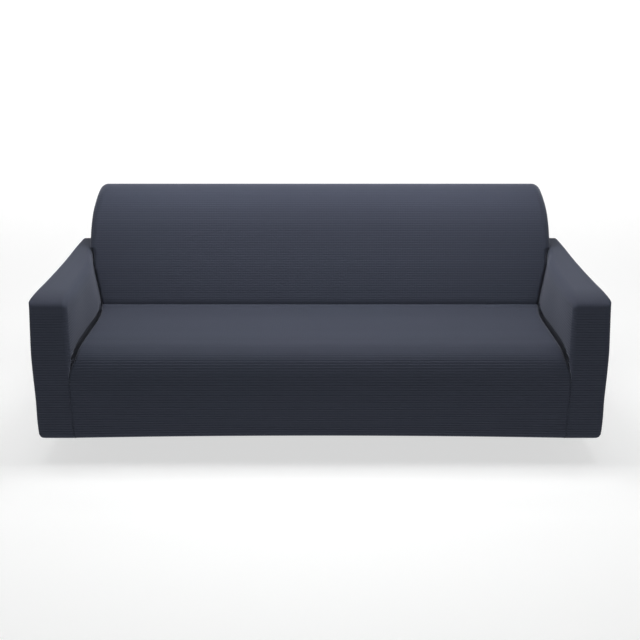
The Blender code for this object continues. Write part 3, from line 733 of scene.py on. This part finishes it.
def wall(x, y, z, first_across, way):
    """An upright face: ribs lie level, and over the top edge they keep their distance apart."""
    half, depth, height = arm_grid(x, y, z)
    grid = set_down(half, depth, height)
    across = first_across + way * lengths(grid, 1)
    climb = lengths(grid, 0)
    edge = np.searchsorted(z.ravel(), 2.0)
    edge = min(edge, grid.shape[0] - 1)
    level = np.where(z > 2.0, height[edge] + climb - climb[edge], height)
    ribbed = 1.0 - smooth((z - RIBS_END_STOP) / (2.0 - RIBS_END_STOP))
    ribbed = np.broadcast_to(ribbed, half.shape)
    return Patch(grid, across, seat_level - level, ribbed)


seat_depth, seat_height = fine_rows(SEAT_ROWS)[1][:2]
seat_forward = seat_height > SEAT_LINE_FOOT
seat_depth, seat_height = seat_depth[seat_forward], seat_height[seat_forward]
seat_level = np.interp(-LEVEL_MARK, -fine_rows(SEAT_ROWS)[1][1], seat_along) + LEVEL_MARK
z = HEIGHT_STOPS[:, None]
x = ACROSS_STOPS[None, :]
y = DEPTH_STOPS[None, :]
upper = HEIGHT_STOPS[HEIGHT_STOPS > 2.0 - STOP_SLACK][:, None]
lower = HEIGHT_STOPS[HEIGHT_STOPS < 2.0 + STOP_SLACK][:, None]
outward = x[:, x[0] > 1.0 - STOP_SLACK]
arm = [
    wall(x, 0.0, z, -ARM_BOX_WIDTH, 1.0),
    wall(3.0, y, z, 0.0, 1.0),
    wall(x[:, ::-1], 3.0, upper, REAR_ACROSS, 1.0),
    wall(outward[:, ::-1], 3.0, lower, REAR_ACROSS, 1.0),
    wall(0.0, y[:, y[0] < 1.0 + STOP_SLACK], z, -ARM_BOX_WIDTH, -1.0),
    wall(0.0, y[:, y[0] > 1.0 - STOP_SLACK], upper, -ARM_BOX_WIDTH, -1.0),
]
half, depth, height = arm_grid(x, DEPTH_STOPS[:, None], 3.0)
grid = set_down(half, depth, height)
over = lengths(grid[:, ::-1], 1)[:, ::-1]
climb = seat_level - TOP_ALONG - over
arm.append(Patch(grid, np.broadcast_to(depth, over.shape), climb, np.zeros(over.shape)))
front_stops = DEPTH_STOPS[DEPTH_STOPS < 1.0 + STOP_SLACK]
rear_stops = DEPTH_STOPS[DEPTH_STOPS > 2.0 - STOP_SLACK]
side_stops = DEPTH_STOPS[(DEPTH_STOPS > TURNED_FRONT) & (DEPTH_STOPS < TURNED_REAR)]
hem_front = np.concatenate((front_stops, [TURNED_FRONT]))[:, None]
hem_rear = np.concatenate(([TURNED_REAR], rear_stops))[:, None]
hem_side = np.concatenate(([TURNED_FRONT], side_stops, [TURNED_REAR]))[:, None]
for across_stops, depth_stops in (
    (x, hem_front), (outward, hem_rear), (x[:, x[0] > TURNED_OUTER], hem_side),
):
    grid = set_down(*arm_grid(across_stops, depth_stops, 0.0))
    shape = grid.shape[:2]
    arm.append(Patch(grid, lengths(grid, 0), seat_level + lengths(grid, 1), np.zeros(shape)))
face_z = lower[lower[:, 0] > 1.0 - STOP_SLACK]
_, start_depth, level = arm_grid(0.0, 1.0, face_z)
foot_depth, foot_height = zip(*CREVICE)
end_depth = np.interp(level, foot_height, foot_depth)
depth = mix(start_depth, end_depth, np.linspace(0.0, 1.0, FACE_COLUMNS)[None, :])
grid = set_down(arm_side(depth, level) + SEAM_GAP + undercut(depth, level), depth, level)
shape = grid.shape[:2]
ribbed = 1.0 - (1.0 - FLAT_RIBS) * smooth((depth - start_depth) / RIBS_FADE)
# Painted shade: the drawn-back inner face is darkened in its colour down in the crease beside the
# seat
tucked = np.minimum(1.0, undercut(depth, level + SHADE_BELOW) / (SHADE_FULL * UNDERCUT))
climb = np.broadcast_to(seat_level - level, shape)
arm.append(Patch(grid, -ARM_BOX_WIDTH - depth, climb, ribbed, tucked))
for name, side, patches in (("left_arm", -1.0, mirrored(arm)), ("right_arm", 1.0, arm)):
    sleeve = sew(name + "_cover", patches, (side, 0.0, 0.0))
    sleeve.data.materials.append(knit(name + "_knit"))
    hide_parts(name + "_panel")
    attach(sleeve, "root")


# ---- Floor and backdrop --------------------------------------------------------------------
# A studio sweep: a pale matt floor that curves up behind into a wall, with no line between.
# Far out, a low wall of the same stuff ends the floor at the front and at both sides.

FLOOR_Z = -MOUNT_HEIGHT
SWEEP_START = 4.0
SWEEP_RADIUS = 3.0
SWEEP_TOP = 7.0
SWEEP_REAR = SWEEP_START + SWEEP_RADIUS
SWEEP_HALF_WIDTH = 60.0
SWEEP_FRONT = -60.0
LOW_WALL = 8.0
SWEEP_SHADE = (0.42, 0.42, 0.42, 1.0)
SWEEP_ROUGHNESS = 0.95
SWEEP_GLOW = (1.0, 1.0, 1.0, 1.0)
SWEEP_GLOW_STRENGTH = 0.62

turn = np.linspace(0.0, pi / 2.0, 25)
curve_y = SWEEP_START + SWEEP_RADIUS * np.sin(turn)
curve_z = SWEEP_RADIUS * (1.0 - np.cos(turn))
sweep_y = np.concatenate(([SWEEP_FRONT], curve_y, [SWEEP_REAR]))
sweep_z = np.concatenate(([0.0], curve_z, [SWEEP_TOP])) + FLOOR_Z
left, right = -SWEEP_HALF_WIDTH, SWEEP_HALF_WIDTH
corners = []
for y_place, z_place in zip(sweep_y, sweep_z):
    corners += [(left, y_place, z_place), (right, y_place, z_place)]
strips = [(2 * i, 2 * i + 1, 2 * i + 3, 2 * i + 2) for i in range(len(sweep_y) - 1)]
wall_top = FLOOR_Z + LOW_WALL
low_walls = []
for start, end in (
    ((left, SWEEP_FRONT), (right, SWEEP_FRONT)),
    ((left, SWEEP_REAR), (left, SWEEP_FRONT)),
    ((right, SWEEP_FRONT), (right, SWEEP_REAR)),
):
    low_walls.append(tuple(range(len(corners), len(corners) + 4)))
    corners += [(*start, FLOOR_Z), (*end, FLOOR_Z), (*end, wall_top), (*start, wall_top)]
mesh = bpy.data.meshes.new("studio_sweep")
mesh.from_pydata(corners, [], strips + low_walls)
for polygon in mesh.polygons:
    polygon.use_smooth = polygon.index < len(strips)
sweep = bpy.data.objects.new("studio_sweep", mesh)
bpy.context.scene.collection.objects.link(sweep)
pale = bpy.data.materials.new("pale_sweep")
pale.use_nodes = True
shader = pale.node_tree.nodes["Principled BSDF"]
shader.inputs["Base Color"].default_value = SWEEP_SHADE
shader.inputs["Roughness"].default_value = SWEEP_ROUGHNESS
shader.inputs["Emission Color"].default_value = SWEEP_GLOW
shader.inputs["Emission Strength"].default_value = SWEEP_GLOW_STRENGTH
mesh.materials.append(pale)


# ---- Light and camera ----------------------------------------------------------------------
# A large soft box hangs over the seat, a small one over the front of each arm and one by each
# side of the back. A far one lights the front weakly, and a wide one whitens the wall behind.
# The camera stands in front of the middle, higher than the back, and looks down.

LIGHTS = (
    # name, place, aim, width, length, power, colour
    ("overhead", (0.0, -0.50, 1.00), (0.0, -0.50, -1.0), 1.2, 0.6, 25.0, (1.0, 1.0, 1.0)),
    ("side_left", (-1.0, -0.75, 0.9), (-0.75, -0.15, -0.1), 0.5, 0.5, 7.0, (1.0, 1.0, 1.0)),
    ("side_right", (1.0, -0.75, 0.9), (0.75, -0.15, -0.1), 0.5, 0.5, 7.0, (1.0, 1.0, 1.0)),
    ("back_left", (-0.7, -0.40, 0.55), (-0.7, -0.12, -0.1), 0.4, 0.3, 2.4, (1.0, 1.0, 1.0)),
    ("back_right", (0.7, -0.40, 0.55), (0.7, -0.12, -0.1), 0.4, 0.3, 2.4, (1.0, 1.0, 1.0)),
    ("front", (0.0, -6.0, 1.2), (0.0, 0.0, -0.4), 3.0, 2.0, 57.0, (0.92, 1.0, 0.94)),
    ("backdrop", (0.0, 3.6, 4.6), (0.0, 7.5, 0.0), 9.0, 1.5, 350.0, (1.0, 1.0, 1.0)),
)
WORLD_SHADE = (1.0, 1.0, 1.0, 1.0)
WORLD_STRENGTH = 0.02
CAMERA_DEPTH = -3.2517
CAMERA_HEIGHT = 1.7655
CAMERA_PITCH = 20.3
CAMERA_LENS = 56.25
CAMERA_SENSOR = 36.0

for name, place, aim, width, length, power, colour in LIGHTS:
    lamp = bpy.data.lights.new(name, "AREA")
    lamp.shape = "RECTANGLE"
    lamp.size = width
    lamp.size_y = length
    lamp.energy = power
    lamp.color = colour
    holder = bpy.data.objects.new(name, lamp)
    bpy.context.scene.collection.objects.link(holder)
    holder.location = place
    way = np.array(aim) - np.array(place)
    flat_run = np.hypot(way[0], way[1])
    holder.rotation_euler = (np.arctan2(flat_run, -way[2]), 0.0, np.arctan2(-way[0], way[1]))

world = bpy.data.worlds.new("studio_air")
world.use_nodes = True
air = world.node_tree.nodes["Background"]
air.inputs["Color"].default_value = WORLD_SHADE
air.inputs["Strength"].default_value = WORLD_STRENGTH
bpy.context.scene.world = world
bpy.context.scene.view_settings.view_transform = "Standard"

camera = bpy.data.objects.new("camera", bpy.data.cameras.new("camera"))
bpy.context.scene.collection.objects.link(camera)
camera.data.sensor_fit = "HORIZONTAL"
camera.data.sensor_width = CAMERA_SENSOR
camera.data.lens = CAMERA_LENS
camera.location = (0.0, CAMERA_DEPTH - MOUNT_DEPTH, CAMERA_HEIGHT - MOUNT_HEIGHT)
camera.rotation_euler = (radians(90.0 - CAMERA_PITCH), 0.0, 0.0)
bpy.context.scene.camera = camera
